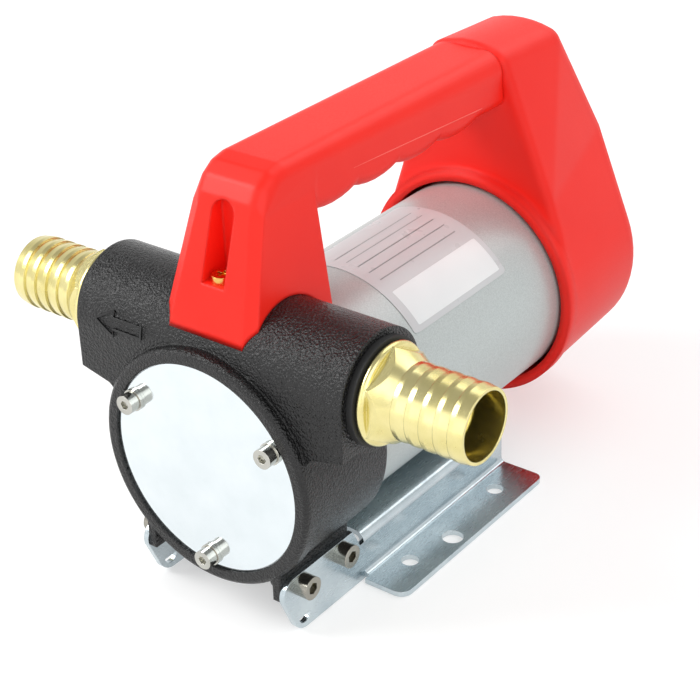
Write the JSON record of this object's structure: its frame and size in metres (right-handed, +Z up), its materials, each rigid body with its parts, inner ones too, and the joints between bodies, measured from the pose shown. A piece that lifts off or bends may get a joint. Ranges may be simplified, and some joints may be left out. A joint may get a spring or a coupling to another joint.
{
  "type": "fuel transfer pump",
  "caption": "Portable motor-driven vane pump for diesel fuel, with cast head, barbed brass hose tails, folded sheet foot, rear switch and moulded carrying handle.",
  "frame": {"origin": "centre of the foot's four outer holes, on the floor", "axes": "+X along the hose tails towards the inlet, +Y along the motor axis from the cover towards the end cap, +Z up"},
  "size_m": [0.192, 0.2225, 0.16],
  "materials": {
    "casting": "black hammered powder coat",
    "cover_plate": "bright polished plating",
    "seal_rubber": "matt black",
    "zinc_fastener": "bright zinc plated",
    "brass": "bright machined",
    "brass_inner": "as machined",
    "stainless": "pressed and drilled",
    "spring_steel": "drawn wire",
    "sintered_steel": "ground",
    "vane_plastic": "filled plastic",
    "ground_steel": "ground",
    "painted_tube": "light grey satin paint",
    "magnet": "dark ferrite",
    "lamination": "stacked steel sheet",
    "copper": "enamelled copper",
    "brush_board": "laminated board",
    "carbon": "carbon",
    "die_cast": "as cast",
    "zinc_sheet": "bluish bright zinc plated",
    "red_plastic": "moulded, fine satin",
    "yellow_zinc": "yellow passivated zinc",
    "black_plastic": "moulded"
  },
  "bodies": {
    "pump_body": {"pump_housing": "casting", "front_cover": "cover_plate", "cover_seal": "seal_rubber", "cover_washers": "zinc_fastener", "cover_screws": "zinc_fastener", "inlet_tail": "brass", "outlet_tail": "brass", "inlet_gasket": "seal_rubber", "outlet_gasket": "seal_rubber", "inlet_strainer": "stainless", "bypass_spring": "spring_steel", "bypass_retainer": "brass_inner", "shaft_seal": "seal_rubber", "front_bearing": "ground_steel", "rear_bearing": "ground_steel", "motor_tube": "painted_tube", "magnets": "magnet", "brush_plate": "brush_board", "brush_holders": "brass_inner", "carbon_brushes": "carbon", "brush_springs": "spring_steel", "end_bell": "die_cast", "tie_bolts": "zinc_fastener", "foot_bracket": "zinc_sheet", "bracket_screws": "zinc_fastener", "handle": "red_plastic", "handle_screw": "yellow_zinc", "end_cap": "red_plastic", "cap_screws": "zinc_fastener", "switch_frame": "black_plastic", "switch_terminals": "brass_inner", "cable_grommet": "seal_rubber"},
    "rotor": {"shaft": "ground_steel", "armature_core": "lamination", "armature_winding": "copper", "commutator": "copper", "pump_rotor": "sintered_steel", "vanes": "vane_plastic", "rotor_key": "ground_steel"},
    "bypass_valve": {"bypass_poppet": "brass_inner"},
    "rocker": {"switch_rocker": "black_plastic"}
  },
  "joints": [
    {"name": "rotor_spin", "type": "hinge", "parent": "pump_body", "child": "rotor", "pos_m": [0, 0, 0.0604], "axis": [0, 1, 0], "continuous": true},
    {"name": "bypass_open", "type": "slide", "parent": "pump_body", "child": "bypass_valve", "axis": [1, 0, 0], "range_m": [0, 0.003], "stiffness_N_per_m": 2500, "springref_m": -0.004, "deforming": ["bypass_spring"]},
    {"name": "switch_tip", "type": "hinge", "parent": "pump_body", "child": "rocker", "pos_m": [0, 0.1253, 0.0864], "axis": [1, 0, 0], "range_deg": [0, 18]}
  ]
}
